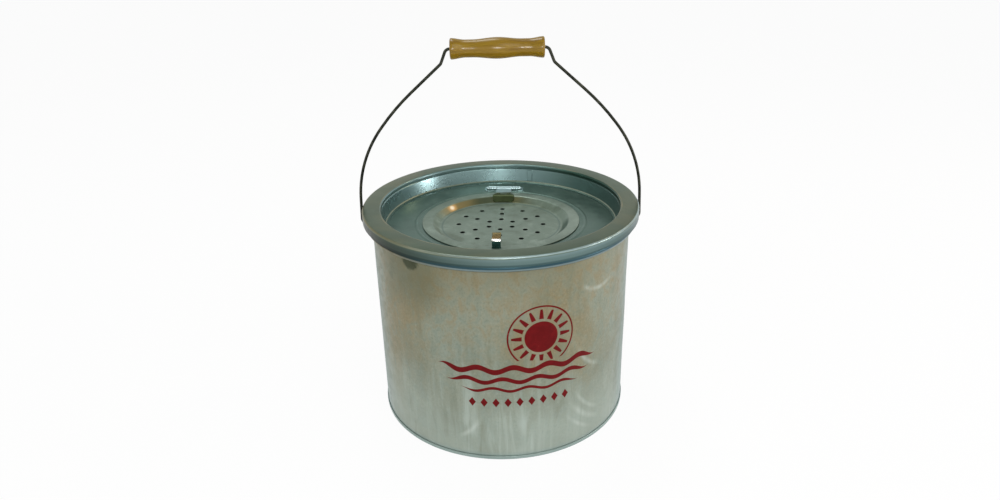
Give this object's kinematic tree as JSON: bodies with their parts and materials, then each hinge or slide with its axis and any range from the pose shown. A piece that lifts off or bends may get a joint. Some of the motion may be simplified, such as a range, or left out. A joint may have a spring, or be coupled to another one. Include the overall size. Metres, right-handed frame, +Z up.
{
  "type": "aerated bait bucket",
  "caption": "Galvanised steel bait bucket with a wood-grip wire bail and a lift-out float insert: sunken deck, hinged breather door, spring catch and perforated basket.",
  "frame": {"origin": "centre of the foot ring's plane, on the pail's axis", "axes": "+Z up along the pail's axis, -Y towards the front of the picture, X along the bail's pivot line"},
  "size_m": [0.2784, 0.27, 0.3706],
  "materials": {
    "galvanised_sheet": "galvanised, softly mottled",
    "galvanised_fittings": "galvanised, dull",
    "dark_wire": "dark aged steel wire",
    "varnished_wood": "clear gloss varnish",
    "solder": "soldered bead",
    "bright_steel": "bright spring steel"
  },
  "bodies": {
    "pail": {"pail_wall": "galvanised_sheet", "pail_rim_wire": "galvanised_fittings", "pail_bottom": "galvanised_sheet", "ear_left": "galvanised_fittings", "ear_right": "galvanised_fittings", "ear_rivets": "galvanised_fittings"},
    "bail": {"bail_wire": "dark_wire"},
    "grip": {"grip": "varnished_wood"},
    "insert": {"collar_shell": "galvanised_sheet", "well_wall": "galvanised_sheet", "float_floor": "galvanised_sheet", "deck_plate": "galvanised_sheet", "deck_solder": "solder", "basket_wall": "galvanised_sheet", "basket_bottom": "galvanised_sheet", "hinge_leaf": "bright_steel", "leaf_rivets": "bright_steel", "hinge_pin": "bright_steel"},
    "door": {"door_pan": "galvanised_sheet", "door_strap": "bright_steel", "strap_rivets": "bright_steel", "catch_strip": "bright_steel", "catch_rivet": "bright_steel"}
  },
  "joints": [
    {"name": "bail_swing", "type": "hinge", "parent": "pail", "child": "bail", "pos_m": [0, 0, 0.192], "axis": [1, 0, 0], "range_deg": [-120, 120]},
    {"name": "grip_spin", "type": "hinge", "parent": "bail", "child": "grip", "pos_m": [0, 0, 0.361], "axis": [1, 0, 0], "continuous": true},
    {"name": "insert_spin", "type": "hinge", "parent": "pail", "child": "insert", "pos_m": [0, 0, 0.2], "axis": [0, 0, 1], "continuous": true},
    {"name": "door_swing", "type": "hinge", "parent": "insert", "child": "door", "pos_m": [0.00455, 0.08688, 0.1962], "axis": [-0.9986, 0.0523, 0], "range_deg": [0, 115]}
  ]
}
